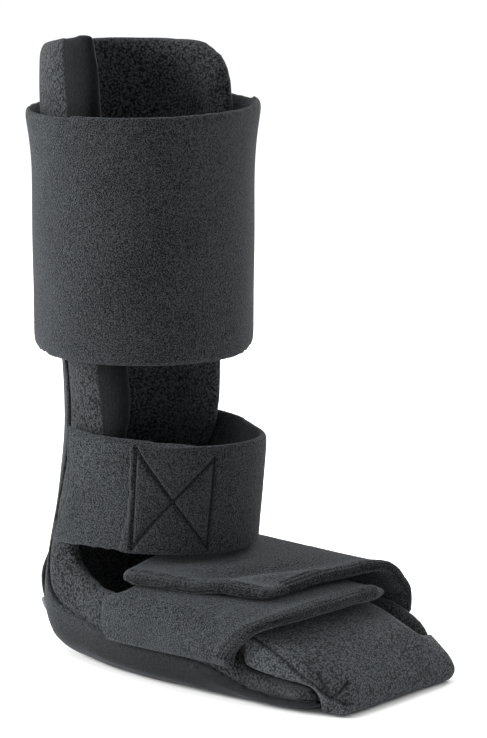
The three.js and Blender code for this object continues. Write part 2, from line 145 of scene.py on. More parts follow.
class Shader:
    """A material's node tree, filled from nothing."""

    def __init__(self, name: str) -> None:
        """Makes an empty material."""
        self.material = bpy.data.materials.new(name)
        self.material.use_nodes = True
        self.tree = self.material.node_tree
        self.tree.nodes.clear()
        self._place = self.node("ShaderNodeTexCoord").outputs["Object"]

    def node(
        self, kind: str, settings: dict[str, Any] | None = None, sockets: dict[Any, Any] | None = None
    ) -> bpy.types.Node:
        """Adds a node.

        Args:
            kind: The node's type name.
            settings: Properties of the node, which are set first.
            sockets: Input sockets by name or number, each with a value or a link.

        Returns:
            The new node.
        """
        made = self.tree.nodes.new(kind)
        for name, setting in (settings or {}).items():
            setattr(made, name, setting)
        for key, given in (sockets or {}).items():
            target = made.inputs[key]
            if isinstance(given, Value):
                self.tree.links.new(given.socket, target)
            elif isinstance(given, bpy.types.NodeSocket):
                self.tree.links.new(given, target)
            else:
                target.default_value = given
        return made

    def place(self, stretch: Sequence[float] = (1, 1, 1)) -> bpy.types.NodeSocket:
        """The piece's own coordinates, in metres."""
        mapping = self.node("ShaderNodeMapping", None, {"Vector": self._place, "Scale": stretch})
        return mapping.outputs["Vector"]

    def crease(self) -> Value:
        """How much painted shade a point has from lying in a sewn groove or fold, from 0 to 1."""
        return Value(self, self.node("ShaderNodeAttribute", {"attribute_name": CREASE_SHADE}).outputs["Fac"])

    def axes(self) -> tuple[Value, Value, Value]:
        """The piece's own coordinates as three values."""
        split = self.node("ShaderNodeSeparateXYZ", None, {0: self._place})
        return tuple(Value(self, out) for out in split.outputs)

    def grain(
        self, size: float, detail: float = 2.0, rough: float = 0.55, stretch: Sequence[float] = (1, 1, 1)
    ) -> Value:
        """Noise of about one size.

        Args:
            size: The size of a grain, in metres.
            detail: How many finer layers it has.
            rough: How strong those layers are.
            stretch: The scale along each axis.

        Returns:
            The noise, from 0 to 1.
        """
        made = self.node(
            "ShaderNodeTexNoise",
            None,
            {"Vector": self.place(stretch), "Scale": 1 / size, "Detail": detail, "Roughness": rough},
        )
        return Value(self, made.outputs[0])

    def tufts(self, size: float) -> Value:
        """Rounded cells, as the tips of a pile.

        Args:
            size: The distance between two tufts, in metres.

        Returns:
            The height of the tufts, from about 0 to 1.
        """
        made = self.node(
            "ShaderNodeTexVoronoi",
            {"feature": "SMOOTH_F1"},
            {"Vector": self.place(), "Scale": 1 / size, "Smoothness": 0.6, "Randomness": 1.0},
        )
        return 1 - Value(self, made.outputs["Distance"])

    def blend(self, share: Value, low: Any, high: Any) -> bpy.types.NodeSocket:
        """A colour between two others.

        Args:
            share: 0 gives low and 1 gives high.
            low: A colour or a colour socket.
            high: A colour or a colour socket.

        Returns:
            A colour socket.
        """
        pair = [(*c, 1.0) if isinstance(c, tuple) else c for c in (low, high)]
        mix = self.node(
            "ShaderNodeMix", {"data_type": "RGBA"}, {0: share.clamped(), 6: pair[0], 7: pair[1]}
        )
        return mix.outputs[2]

    def finish(
        self, colour: Any, roughness: Any, height: Value, relief: float, fixed: dict[str, Any]
    ) -> bpy.types.Material:
        """Adds the surface shader.

        Args:
            colour: The base colour's socket.
            roughness: The roughness, a value or a number.
            height: The relief's height, from 0 to 1.
            relief: The relief's depth, in metres.
            fixed: Values that are the same all over the surface.

        Returns:
            The finished material.
        """
        bump = self.node("ShaderNodeBump", None, {"Height": height, "Distance": relief, "Strength": 1.0})
        shader = self.node(
            "ShaderNodeBsdfPrincipled",
            None,
            {"Base Color": colour, "Roughness": roughness, "Normal": bump.outputs[0], **fixed},
        )
        self.node("ShaderNodeOutputMaterial", None, {"Surface": shader.outputs[0]})
        return self.material


def dull(sheen: float, roughness: float) -> dict[str, Any]:
    """What every cloth's shader has in common."""
    return {
        "Sheen Weight": sheen,
        "Sheen Roughness": roughness,
        "Sheen Tint": (0.85, 0.92, 1.0, 1.0),
        "Specular IOR Level": 0.1,
    }


@dataclass(frozen=True)
class BrushedCloth:
    """Loop cloth with a short brushed nap. Its sewn grooves are painted darker, as painted shade, and it may
    be painted darker towards its base, as painted shade on the underside.
    """

    name: str
    dark: Colour = (0.001, 0.0011, 0.0012)
    light: Colour = (0.043, 0.0472, 0.0512)
    nap: float = 0.75 * MM
    clump: float = 1.6 * MM
    relief: float = 1.9 * MM
    sheen: float = 0.12
    # The colour of the painted shade in sewn grooves.
    seam: Colour = (0.0014, 0.0015, 0.0016)
    # The colour of the painted shade towards the base, where the cloth curves under.
    low: Colour | None = None

    def build(self) -> bpy.types.Material:
        """Makes the cloth's material."""
        shader = Shader(self.name)
        nap = shader.grain(self.nap, 1.0, 0.5)
        clump = shader.grain(self.clump, 2.0, 0.6)
        broad = shader.grain(34 * MM, 2.0)
        pile = nap * 0.8 + clump * 0.12 + broad * 0.08
        mottled = shader.blend(pile.rise(0.4, 0.64), self.dark, self.light)
        # Painted shade: the colour darkens towards the base.
        if self.low:
            level = shader.axes()[2] + clump * 8 * MM
            mottled = shader.blend(level.rise(8 * MM, 42 * MM), self.low, mottled)
        # Painted shade in the sewn grooves.
        colour = shader.blend(shader.crease(), mottled, self.seam)
        height = nap * 0.8 + clump * 0.2
        return shader.finish(colour, 0.85 + nap * 0.15, height, self.relief, dull(self.sheen, 0.4))


@dataclass(frozen=True)
class PlushPile:
    """Coarse plush with curled tufts.

    With a strip it is the trough's lining, which has three zones of its own: the smooth strip along the near
    wall's front, painted dark as painted shade; the walls above the ankle, painted lighter as painted light
    in their shade; and the smooth toe end.
    """

    name: str
    dark: Colour = (0.0012, 0.0014, 0.0016)
    light: Colour = (0.034, 0.0368, 0.0397)
    tuft: float = 1.5 * MM
    curl: float = 0.85 * MM
    relief: float = 1.6 * MM
    sheen: float = 0.09
    # The colour of the painted shade in sewn grooves and folds.
    seam: Colour = (0.002, 0.0022, 0.0024)
    strip: tuple[float, float] | None = None
    strip_from: float = 190 * MM
    strip_lean: float = 85.0
    shaft_axis: float = 66.5 * MM
    toe_y: float = -72 * MM
    # Colours of the strip: a smooth grain, painted dark as painted shade.
    strip_shade: tuple[Colour, Colour] = ((0.0012, 0.0014, 0.0016), (0.005, 0.0056, 0.006))
    # Colours of the painted light on the walls above the ankle, which lie in shade.
    pale: tuple[Colour, Colour] = ((0.008, 0.0088, 0.0096), (0.085, 0.0918, 0.099))
    toe: tuple[Colour, Colour] = ((0.005, 0.0055, 0.006), (0.038, 0.041, 0.044))

    def build(self) -> bpy.types.Material:
        """Makes the plush material."""
        shader = Shader(self.name)
        curl = shader.grain(self.curl, 2.0, 0.7)
        tufts = shader.tufts(self.tuft)
        clump = shader.grain(2.0 * MM, 2.0, 0.6)
        pile = tufts * 0.3 + curl * 0.42 + clump * 0.28
        colour = shader.blend(pile.rise(0.42, 0.61), self.dark, self.light)
        height = tufts * 0.4 + curl * 0.4 + clump * 0.2
        if self.strip:
            strip, inner, toe = self._zones(shader)
            fine = shader.grain(0.9 * MM, 2.0, 0.6, (1, 1, 0.45))
            for zone, tips, tones in (
                # Painted light on the walls above the ankle.
                (inner, pile.rise(0.4, 0.62), self.pale),
                # Painted shade on the strip, over its smooth grain.
                (strip, fine.rise(0.3, 0.7), self.strip_shade),
                (toe, fine.rise(0.35, 0.65), self.toe),
            ):
                colour = shader.blend(zone, colour, shader.blend(tips, *tones))
            smooth = (strip + toe).clamped()
            height = height * (1 - smooth) + fine * 0.3 * smooth
        # Painted shade in the sewn grooves and folds.
        colour = shader.blend(shader.crease() * 0.9, colour, self.seam)
        return shader.finish(colour, 0.85 + curl * 0.15, height, self.relief, dull(self.sheen, 0.45))

    def _zones(self, shader: Shader) -> tuple[Value, Value, Value]:
        """Where the smooth strip with its painted shade, the walls inside it with their painted light and the
        smooth toe end lie.

        Args:
            shader: The shader that the masks' nodes go into.

        Returns:
            Three masks, each 1 in its zone and 0 beside it.
        """
        x, y, z = shader.axes()
        turn = (x * -1).angle_from(self.shaft_axis - y)
        turn = turn - (z - self.strip_from) * math.radians(self.strip_lean)
        low, high = (math.radians(a) for a in self.strip)
        edge = math.radians(1.5)
        past = turn.rise(low - edge, low + edge)
        # Where the strip with its painted shade lies.
        strip = past * (1 - turn.rise(high - edge, high + edge)) * z.rise(150 * MM, 152 * MM)
        back = y - self.shaft_axis
        inside = 1 - (x * x + back * back).rise((43 * MM) ** 2, (53 * MM) ** 2)
        # Where painted light brightens the walls above the ankle.
        inner = (1 - past) * inside * z.rise(130 * MM, 165 * MM) * (1 - z.rise(205 * MM, 240 * MM))
        return strip, inner, 1 - y.rise(self.toe_y - 5 * MM, self.toe_y + 5 * MM)


@dataclass(frozen=True)
class WovenTape:
    """Ribbed woven tape, near black."""

    name: str
    dark: Colour = (0.005, 0.0052, 0.0056)
    light: Colour = (0.022, 0.023, 0.0245)
    rib: float = 1.6 * MM
    relief: float = 0.4 * MM

    def build(self) -> bpy.types.Material:
        """Makes the tape's material."""
        shader = Shader(self.name)
        x, _, z = shader.axes()
        turn = 2 * math.pi / self.rib
        ribs = ((x * turn).sine() * 0.5 + 0.5) * 0.5 + ((z * turn * 1.3).sine() * 0.5 + 0.5) * 0.5
        fray = shader.grain(0.7 * MM)
        weave = ribs * 0.6 + fray * 0.4
        colour = shader.blend(weave.rise(0.2, 0.85), self.dark, self.light)
        fixed = {"Sheen Weight": 0.15, "Specular IOR Level": 0.2}
        return shader.finish(colour, 0.75 + fray * 0.2, weave, self.relief, fixed)


@dataclass(frozen=True)
class MouldedPlastic:
    """Matte moulded plastic with a fine grain and worn edges."""

    name: str
    dark: Colour = (0.075, 0.078, 0.082)
    light: Colour = (0.13, 0.134, 0.14)

    def build(self) -> bpy.types.Material:
        """Makes the plastic's material."""
        shader = Shader(self.name)
        grain = shader.grain(0.35 * MM)
        mottled = shader.grain(6 * MM, 3.0)
        colour = shader.blend(mottled.rise(0.35, 0.75), self.dark, self.light)
        return shader.finish(colour, 0.38 + mottled * 0.2, grain, 0.05 * MM, {"Specular IOR Level": 0.45})


@dataclass(frozen=True)
class Thread:
    """Twisted sewing thread."""

    name: str
    dark: Colour = (0.0015, 0.0016, 0.0018)
    light: Colour = (0.008, 0.0085, 0.009)

    def build(self) -> bpy.types.Material:
        """Makes the thread's material."""
        shader = Shader(self.name)
        twist = shader.grain(0.35 * MM, 1.0)
        colour = shader.blend(twist.rise(0.3, 0.7), self.dark, self.light)
        return shader.finish(colour, 0.6 + twist * 0.2, twist, 0.1 * MM, {"Specular IOR Level": 0.3})


@dataclass
class Finishes:
    """The materials of the whole splint, each made once."""

    wrap: bpy.types.Material = field(
        default_factory=lambda: BrushedCloth("wrap_cloth", light=(0.039, 0.0428, 0.0464)).build()
    )
    strap: bpy.types.Material = field(
        default_factory=lambda: BrushedCloth("strap_cloth", light=(0.049, 0.0538, 0.0583)).build()
    )
    tab: bpy.types.Material = field(
        default_factory=lambda: BrushedCloth("tab_cloth", light=(0.034, 0.0374, 0.0404)).build()
    )
    # The cover is painted darker towards its base, as painted shade.
    cover: bpy.types.Material = field(
        default_factory=lambda: BrushedCloth(
            "cover_cloth", relief=0.5 * MM, nap=0.55 * MM, low=(0.004, 0.0045, 0.005)
        ).build()
    )
    # The lining, with painted shade on its strip and painted light on its walls above the ankle.
    plush: bpy.types.Material = field(default_factory=lambda: PlushPile("plush_pile", strip=(44, 79)).build())
    pad: bpy.types.Material = field(
        default_factory=lambda: PlushPile(
            "pad_pile",
            dark=(0.0115, 0.0126, 0.0138),
            light=(0.062, 0.067, 0.0725),
            tuft=1.3 * MM,
            relief=1.0 * MM,
        ).build()
    )
    tape: bpy.types.Material = field(default_factory=lambda: WovenTape("woven_tape").build())
    plastic: bpy.types.Material = field(default_factory=lambda: MouldedPlastic("slide_plastic").build())
    thread: bpy.types.Material = field(default_factory=lambda: Thread("dark_thread").build())
    grey_thread: bpy.types.Material = field(
        default_factory=lambda: Thread(
            "grey_thread", dark=(0.02, 0.021, 0.023), light=(0.07, 0.073, 0.078)
        ).build()
    )


# Meshes


def coordinates(mesh: bpy.types.Mesh) -> np.ndarray:
    """A mesh's points, one row each."""
    flat = np.empty(len(mesh.vertices) * 3, np.float32)
    mesh.vertices.foreach_get("co", flat)
    return flat.reshape(-1, 3).astype(float)


def normals(mesh: bpy.types.Mesh) -> np.ndarray:
    """A mesh's vertex normals, one row each."""
    flat = np.empty(len(mesh.vertices) * 3, np.float32)
    mesh.vertex_normals.foreach_get("vector", flat)
    return flat.reshape(-1, 3).astype(float)


def set_coordinates(mesh: bpy.types.Mesh, points: np.ndarray) -> None:
    """Moves a mesh's points."""
    mesh.vertices.foreach_set("co", points.astype(np.float32).ravel())
    mesh.update()


def bake(piece: bpy.types.Object) -> None:
    """Puts the result of a piece's modifiers in its mesh, and removes them."""
    graph = bpy.context.evaluated_depsgraph_get()
    made = bpy.data.meshes.new_from_object(piece.evaluated_get(graph))
    old = piece.data
    piece.modifiers.clear()
    piece.data = made
    bpy.data.meshes.remove(old)


def new_piece(name: str, shape: bmesh.types.BMesh) -> bpy.types.Object:
    """Makes an object of a bmesh, which is freed.

    Args:
        name: The object's name.
        shape: The bmesh.

    Returns:
        The object, at the origin.
    """
    mesh = bpy.data.meshes.new(name)
    shape.to_mesh(mesh)
    shape.free()
    piece = bpy.data.objects.new(name, mesh)
    bpy.context.scene.collection.objects.link(piece)
    return piece


def smooth_faces(piece: bpy.types.Object) -> None:
    """Shades a piece smooth."""
    piece.data.polygons.foreach_set("use_smooth", [True] * len(piece.data.polygons))


def even_out(shape: bmesh.types.BMesh, points: Any, passes: int) -> None:
    """Draws points of a bmesh towards their neighbours."""
    for _ in range(passes):
        bmesh.ops.smooth_vert(
            shape, verts=points, factor=0.5, use_axis_x=True, use_axis_y=True, use_axis_z=True
        )


def tree_of_nodes(left_out: Sequence[str]) -> BVHTree:
    """A search tree of all the CAD nodes but some.

    Args:
        left_out: Names of nodes that aren't in it.

    Returns:
        The tree.
    """
    points: list[Vector] = []
    faces: list[tuple[int, ...]] = []
    for name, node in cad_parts.items():
        if name in left_out:
            continue
        first = len(points)
        points.extend(v.co.copy() for v in node.data.vertices)
        faces.extend(tuple(first + i for i in face.vertices) for face in node.data.polygons)
    return BVHTree.FromPolygons(points, faces)


@dataclass
class SoftSolid:
    """A padded piece that starts from one CAD node and is swelled by a cloth simulation."""

    node: str
    name: str
    voxel: float = 3 * MM
    pressure: float = 3.0
    cap: float = 1.2 * MM
    tuck: float = 0.35 * MM
    smoothing: int = 2
    firm: float = 0.55
    sharp: float = math.radians(28)
    finer: int = 1
    frames: int = 11

    def build(self) -> bpy.types.Object:
        """Copies, smooths, remeshes and swells the node.

        Returns:
            The new piece, with all of its shape in its mesh.
        """
        piece = self._copy()
        self._smooth_copy(piece)
        self._remesh(piece)
        self._swell(piece)
        self._refine(piece)
        return piece

    def _copy(self) -> bpy.types.Object:
        """Welds the node's loose triangles in a new mesh and joins them to quads."""
        shape = bmesh.new()
        shape.from_mesh(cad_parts[self.node].data)
        bmesh.ops.remove_doubles(shape, verts=shape.verts, dist=1e-6)
        bmesh.ops.join_triangles(
            shape,
            faces=shape.faces,
            angle_face_threshold=math.radians(50),
            angle_shape_threshold=math.radians(80),
        )
        crease = shape.edges.layers.float.new("crease_edge")
        for edge in shape.edges:
            if edge.calc_face_angle(0) > self.sharp:
                edge[crease] = self.firm
        return new_piece(self.name, shape)

    def _smooth_copy(self, piece: bpy.types.Object) -> None:
        """Rounds the facets away with a subdivision surface."""
        rounding = piece.modifiers.new("rounding", "SUBSURF")
        rounding.levels = rounding.render_levels = 2
        bake(piece)

    def _remesh(self, piece: bpy.types.Object) -> None:
        """Gives the piece an even mesh and takes the voxels' steps off."""
        remesh = piece.modifiers.new("remesh", "REMESH")
        remesh.mode = "VOXEL"
        remesh.voxel_size = self.voxel
        bake(piece)
        shape = bmesh.new()
        shape.from_mesh(piece.data)
        even_out(shape, shape.verts, self.smoothing)
        shape.to_mesh(piece.data)
        shape.free()

    def _swell(self, piece: bpy.types.Object) -> None:
        """Blows the piece up a little, no further than its neighbours and the cap allow."""
        start = coordinates(piece.data)
        start -= normals(piece.data) * self.tuck
        set_coordinates(piece.data, start)
        if self.cap <= 0:
            return
        cloth = piece.modifiers.new("swell", "CLOTH")
        cloth.settings.use_pressure = True
        cloth.settings.uniform_pressure_force = self.pressure
        cloth.settings.effector_weights.gravity = 0
        cloth.point_cache.frame_start = 1
        cloth.point_cache.frame_end = self.frames
        for at in range(1, self.frames + 1):
            bpy.context.scene.frame_set(at)
        bake(piece)
        bpy.context.scene.frame_set(1)
        moved = coordinates(piece.data) - start
        others = tree_of_nodes([self.node])
        room = np.array([others.find_nearest(Vector(p))[3] for p in start])
        limit = np.clip((room - 0.3 * MM) * 0.5, 0, self.cap)
        far = np.maximum(np.linalg.norm(moved, axis=1), 1e-9)
        set_coordinates(piece.data, start + moved * np.minimum(1, limit / far)[:, None])

    def _refine(self, piece: bpy.types.Object) -> None:
        """Adds the last subdivision."""
        if self.finer:
            finer = piece.modifiers.new("finer", "SUBSURF")
            finer.levels = finer.render_levels = self.finer
            bake(piece)


@dataclass
class Seam:
    """A sewn line on a piece: a groove in the cloth that the material darkens with painted shade.

    A negative depth makes a padded hem. Points whose normal's z is under the lowest stay.
    """

    line: list[Vector]
    depth: float = 1.0 * MM
    width: float = 1.3 * MM
    # How much painted shade the groove gets.
    dark: float = 1.0
    lowest: float = -1.0

    def sink(self, piece: bpy.types.Object) -> None:
        """Presses the groove into the piece's mesh and marks it for its painted shade."""
        dense = spaced(self.line, 0.5 * MM)
        tree = KDTree(len(dense))
        for i, place in enumerate(dense):
            tree.insert(place, i)
        tree.balance()
        points, out = coordinates(piece.data), normals(piece.data)
        reach = 3 * self.width
        corners = np.array([tuple(p) for p in dense])
        close = np.all((points > corners.min(0) - reach) & (points < corners.max(0) + reach), axis=1)
        marks = piece.data.attributes.get(CREASE_SHADE) or piece.data.attributes.new(CREASE_SHADE, "FLOAT", "POINT")
        for i in np.flatnonzero(close & (out[:, 2] > self.lowest)):
            share = bell(tree.find(Vector(points[i]))[2], self.width)
            points[i] -= out[i] * self.depth * share
            marks.data[i].value = max(marks.data[i].value, share * self.dark)
        set_coordinates(piece.data, points)


def bell(offset: float, width: float) -> float:
    """A bell curve that is 1 in its middle."""
    return math.exp(-((offset / width) ** 2))


def spaced(line: Sequence[Vector], gap: float) -> list[Vector]:
    """Points at even steps along a line.

    Args:
        line: The line's corners.
        gap: The distance between points, in metres.

    Returns:
        The points.
    """
    corners = np.array([tuple(p) for p in line])
    along = np.concatenate([[0], np.cumsum(np.linalg.norm(np.diff(corners, axis=0), axis=1))])
    at = np.linspace(0, along[-1], max(2, round(along[-1] / gap) + 1))
    return [Vector(p) for p in np.stack([np.interp(at, along, corners[:, k]) for k in range(3)], axis=1)]


@dataclass
class StitchRow:
    """Dashes of thread along lines that lie on a piece."""

    name: str
    length: float = 2.6 * MM
    gap: float = 1.0 * MM
    radius: float = 0.35 * MM

    def build(self, lines: Sequence[Sequence[Vector]]) -> bpy.types.Object:
        """Lays one small rounded dash for each stitch along the lines, all in one piece."""
        shape = bmesh.new()
        for line in lines:
            ends = spaced(line, self.length + self.gap)
            share = self.length / (self.length + self.gap)
            for start, end in zip(ends, ends[1:]):
                along = end - start
                turn = along.to_track_quat("X", "Z").to_matrix().to_4x4()
                size = Matrix.Diagonal((along.length * share / 2, self.radius, self.radius, 1))
                matrix = Matrix.Translation((start + end) / 2) @ turn @ size
                bmesh.ops.create_icosphere(shape, subdivisions=1, radius=1.0, matrix=matrix)
        return new_piece(self.name, shape)


@dataclass
class Caster:
    """Finds places on a piece's surface by casting rays at it from outside."""

    piece: bpy.types.Object
    reach: float = 250 * MM

    def __post_init__(self) -> None:
        """Builds the search tree of the piece as it is now."""
        shape = bmesh.new()
        shape.from_mesh(self.piece.data)
        self.tree = BVHTree.FromBMesh(shape)
        shape.free()

    def hit(self, axis: Vector, out: Vector, lift: float = 0.0) -> Vector | None:
        """The outermost place of the piece along a ray.

        Args:
            axis: A point inside, which the ray goes towards.
            out: The direction from that point outwards.
            lift: How far the result stands off the surface.

        Returns:
            The place, or None where the ray misses.
        """
        place, normal, _, _ = self.tree.ray_cast(axis + out * self.reach, -out, self.reach)
        return place + normal * lift if place is not None else None


@dataclass
class ShaftRays:
    """Rays towards the shaft's upright axis, by turn and height."""

    axis_y: float = 66.5 * MM

    def cast(self, caster: Caster, turn: float, z: float, lift: float = 0.0) -> Vector | None:
        """The outermost place of a piece at a turn and a height.

        Args:
            caster: The piece's caster.
            turn: The angle from the front, in degrees, positive towards the near side.
            z: The height, in metres.
            lift: How far the result stands off the surface.

        Returns:
            The place, or None.
        """
        a = math.radians(turn)
        return caster.hit(Vector((0, self.axis_y, z)), Vector((-math.sin(a), -math.cos(a), 0)), lift)

    def line(
        self, caster: Caster, ends: Sequence[tuple[float, float]], count: int, lift: float = 0.0
    ) -> list[Vector]:
        """A line on the piece between turn and height pairs.

        Args:
            caster: The piece's caster.
            ends: Corners as turn in degrees and height in metres.
            count: The number of rays.
            lift: How far the line stands off the surface.

        Returns:
            The places that were hit.
        """
        at = np.linspace(0, len(ends) - 1, count)
        turns = np.interp(at, range(len(ends)), [e[0] for e in ends])
        heights = np.interp(at, range(len(ends)), [e[1] for e in ends])
        found = (self.cast(caster, t, z, lift) for t, z in zip(turns, heights))
        return [place for place in found if place is not None]


@dataclass
class ArchRays:
    """Rays towards the line along the foot bed, by turn from the far side over the top, and by y."""

    axis_x: float = 1 * MM
    axis_z: float = 24 * MM

    def cast(self, caster: Caster, turn: float, y: float) -> Vector | None:
        """The outermost place of a piece at a turn and a place along the foot.

        Args:
            caster: The piece's caster.
            turn: The angle from the far side over the top, in degrees.
            y: The place along the foot, in metres.

        Returns:
            The place, or None.
        """
        a = math.radians(turn)
        return caster.hit(Vector((self.axis_x, y, self.axis_z)), Vector((math.cos(a), 0, math.sin(a))))

    def edge(self, caster: Caster, turns: Sequence[float], inset: float) -> list[Vector]:
        """A line that runs along the piece's front edge, some way in from it.

        Args:
            caster: The piece's caster.
            turns: The turns to cast at.
            inset: How far in from the edge, in metres.

        Returns:
            The places that were hit.
        """
        scan = np.arange(-120, 60, 1.0) * MM
        found: list[tuple[float, float]] = []
        for turn in turns:
            first = next((y for y in scan if self.cast(caster, turn, y) is not None), None)
            if first is not None:
                found.append((turn, first))
        smooth = np.convolve([f[1] for f in found], np.ones(3) / 3, "same")
        smooth[0], smooth[-1] = found[0][1], found[-1][1]
        places = (self.cast(caster, turn, y + inset) for (turn, _), y in zip(found, smooth))
        return [place for place in places if place is not None]

    def end(self, caster: Caster, rows: Sequence[float], inset: float) -> list[Vector]:
        """A line that runs along the piece's free end over the arch, some way in from it.

        Args:
            caster: The piece's caster.
            rows: The places along the foot to cast at.
            inset: How far in from the end, in degrees.

        Returns:
            The places that were hit.
        """
        found = []
        for y in rows:
            turns = [t for t in range(60, 176) if self.cast(caster, t, y) is not None]
            if turns:
                found.append((turns[-1] - inset, y))
        places = (self.cast(caster, turn, y) for turn, y in found)
        return [place for place in places if place is not None]

    def face(self, caster: Caster, line: Sequence[Vector], out: Vector, depth: float) -> list[Vector]:
        """A line on the face of an edge, below a line that runs along that edge on the outer side.

        Args:
            caster: The piece's caster.
            line: The line on the outer side.
            out: The direction in which the edge faces.
            depth: How far below the outer side, in metres.

        Returns:
            The places that were hit.
        """
        centre = Vector((self.axis_x, 0, self.axis_z))
        found = []
        for place in line:
            inwards = (centre - place) * Vector((1, 0, 1))
            found.append(caster.hit(place + inwards.normalized() * depth, out))
        return [place for place in found if place is not None]


def dressed(piece: bpy.types.Object, material: bpy.types.Material, slot: Slot, *nodes: str) -> None:
    """Gives a piece its finish and its place in the frame.

    Args:
        piece: The piece.
        material: Its finish.
        slot: The record's slot; it is not used.
        nodes: The CAD nodes that it stands for.
    """
    smooth_faces(piece)
    piece.data.materials.clear()
    piece.data.materials.append(material)
    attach(piece, BODY)
    if nodes:
        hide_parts(*nodes)
    LOG.info("%s: %d faces", piece.name, len(piece.data.polygons))


def pushed(piece: bpy.types.Object, push: Push) -> None:
    """Moves each point of a piece by what a function gives.

    Args:
        piece: The piece.
        push: Takes a point and its normal, and gives the move.
    """
    points, out = coordinates(piece.data), normals(piece.data)
    moved = [Vector(p) + push(Vector(p), Vector(n)) for p, n in zip(points, out)]
    set_coordinates(piece.data, np.array([tuple(p) for p in moved]))


def step(value: float, low: float, high: float) -> float:
    """A smooth step from 0 at low to 1 at high.

    Args:
        value: Where the step is taken.
        low: Where it starts.
        high: Where it ends.

    Returns:
        The step's value.
    """
    t = min(1.0, max(0.0, (value - low) / (high - low)))
    return t * t * (3 - 2 * t)


def ripple(size: float, height: float) -> Push:
    """A push that makes soft unevenness."""
    return lambda p, n: n * (noise.noise(p / size) * height)


# The sub-assemblies


@dataclass
class Trough:
    """The L-shaped padded trough: its plush lining and its smooth cover."""

    finishes: Finishes
    rim_height: float = 402 * MM
    corner_rise: float = 12 * MM
    rim_lift: float = 1.6 * MM
    rim_passes: tuple[tuple[int, float], ...] = ((11, 9 * MM), (5, 16 * MM))
    toe_rim_move: tuple[float, float, float] = (1.2 * MM, 0, 4.5 * MM)

    def build(self) -> None:
        """Builds the lining and the cover."""
        lining = SoftSolid(
            "plush_liner", "plush_lining", voxel=3.6 * MM, cap=1.6 * MM, tuck=0.3 * MM, smoothing=4, firm=0.2
        )
        piece = lining.build()
        self._round_top(piece)
        for push in (self._far_toe_rim, ripple(26 * MM, 0.7 * MM)):
            pushed(piece, push)
        dressed(piece, self.finishes.plush, Slot.PLUSH, "plush_liner")
        cover = SoftSolid("boot_cover", "outer_cover", voxel=1.9 * MM, cap=0, tuck=0, smoothing=2, finer=0)
        piece = cover.build()
        for push in (self._far_toe_rim, ripple(38 * MM, 0.5 * MM)):
            pushed(piece, push)
        dressed(piece, self.finishes.cover, Slot.CLOTH, "boot_cover")

    def _far_toe_rim(self, place: Vector, normal: Vector) -> Vector:
        """Raises the far wall's rim beside the toes."""
        far_toe = step(place.x, 40 * MM, 56 * MM) * step(-place.y, 62 * MM, 98 * MM)
        return Vector(self.toe_rim_move) * (far_toe * step(place.z, 8 * MM, 24 * MM))

    def _round_top(self, piece: bpy.types.Object) -> None:
        """Rounds the padding's upper rim."""
        shape = bmesh.new()
        shape.from_mesh(piece.data)
        for passes, below in self.rim_passes:
            rim = [v for v in shape.verts if v.co.z > self._top(v.co) - below]
            even_out(shape, rim, passes)
        for vert in shape.verts:
            top = self._top(vert.co)
            vert.co.z += self.rim_lift * step(vert.co.z, top - 22 * MM, top - 6 * MM)
        shape.to_mesh(piece.data)
        shape.free()

    def _top(self, place: Vector) -> float:
        """The height of the trough's upper edge, which rises towards the near wall's front."""
        near = step(-place.x, 10 * MM, 66 * MM) * step(-place.y, -100 * MM, -50 * MM)
        return self.rim_height + near * self.corner_rise


@dataclass
class CalfWrap:
    """The broad padded loop round the calf."""

    finishes: Finishes

    def build(self) -> None:
        """Builds the wrap."""
        wrap = SoftSolid(
            "calf_wrap", "calf_wrap_pad", voxel=3.1 * MM, cap=0.9 * MM, tuck=0.1 * MM, smoothing=5, firm=0.3
        )
        piece = wrap.build()
        pushed(piece, ripple(60 * MM, 0.8 * MM))
        dressed(piece, self.finishes.wrap, Slot.CLOTH, "calf_wrap")


